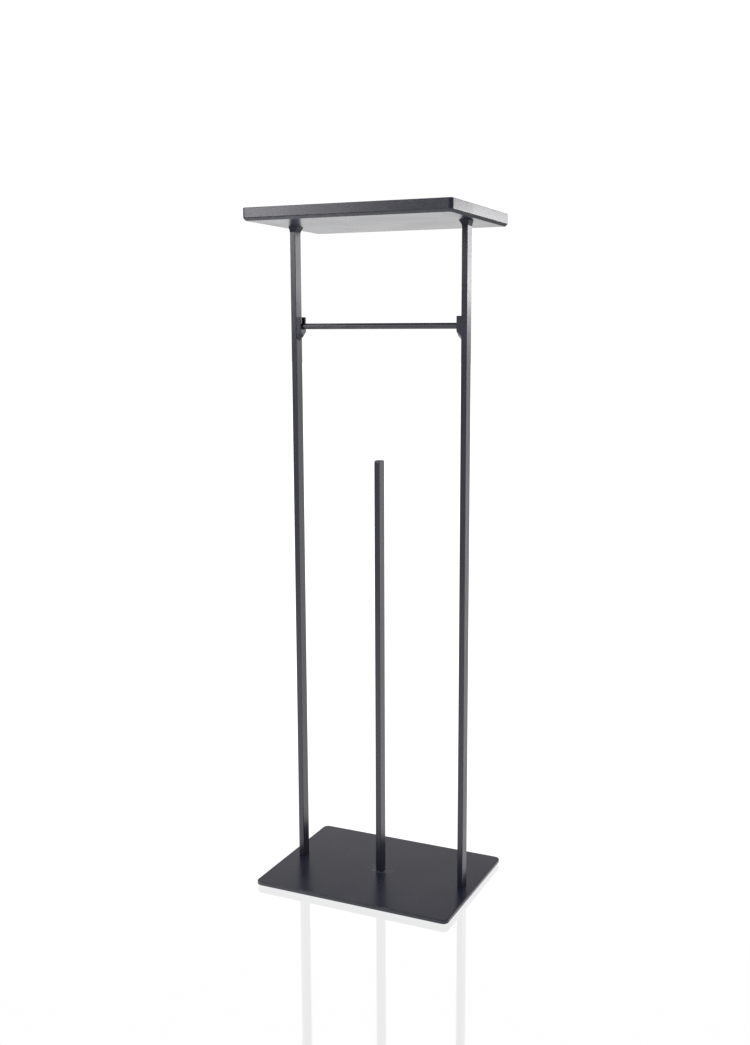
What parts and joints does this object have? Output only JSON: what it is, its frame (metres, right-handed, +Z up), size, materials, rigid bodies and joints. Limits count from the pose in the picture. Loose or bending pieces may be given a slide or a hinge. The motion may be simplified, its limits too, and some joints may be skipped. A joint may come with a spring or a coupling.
{
  "type": "toilet roll stand",
  "caption": "Free-standing black toilet roll stand: base plate, flat bar uprights, lift-out roll bar in open cradles, spare roll spindle and shallow tray on top.",
  "frame": {"origin": "on the floor, below the middle of the base plate", "axes": "+X to the right along the row of flat bars, -Y to the front, +Z up"},
  "size_m": [0.22, 0.1586, 0.7],
  "materials": {
    "plate_coat": "semi-matt black powder coat, fine orange peel, softened edges",
    "bar_coat": "semi-matt black powder coat on flat bar and weld",
    "tray_coat": "semi-matt black powder coat on folded sheet",
    "roll_bar_coat": "semi-gloss black powder coat, lightly rubbed where the roll turns",
    "screw_zinc": "zinc-plated steel, fine turned marks",
    "pad_rubber": "matt black foam rubber"
  },
  "bodies": {
    "stand": {"base_plate": "plate_coat", "shelf_tray": "tray_coat", "left_upright": "bar_coat", "right_upright": "bar_coat", "spare_roll_spindle": "bar_coat", "left_cradle": "bar_coat", "right_cradle": "bar_coat", "left_tray_weld": "bar_coat", "right_tray_weld": "bar_coat", "base_screws": "screw_zinc", "front_left_pad": "pad_rubber", "front_right_pad": "pad_rubber", "rear_left_pad": "pad_rubber", "rear_right_pad": "pad_rubber"},
    "roll_bar": {"roll_bar": "roll_bar_coat"}
  },
  "joints": [
    {"name": "roll_bar_lift", "type": "slide", "parent": "stand", "child": "roll_bar", "axis": [0, 0, 1], "range_m": [0, 0.09]}
  ]
}
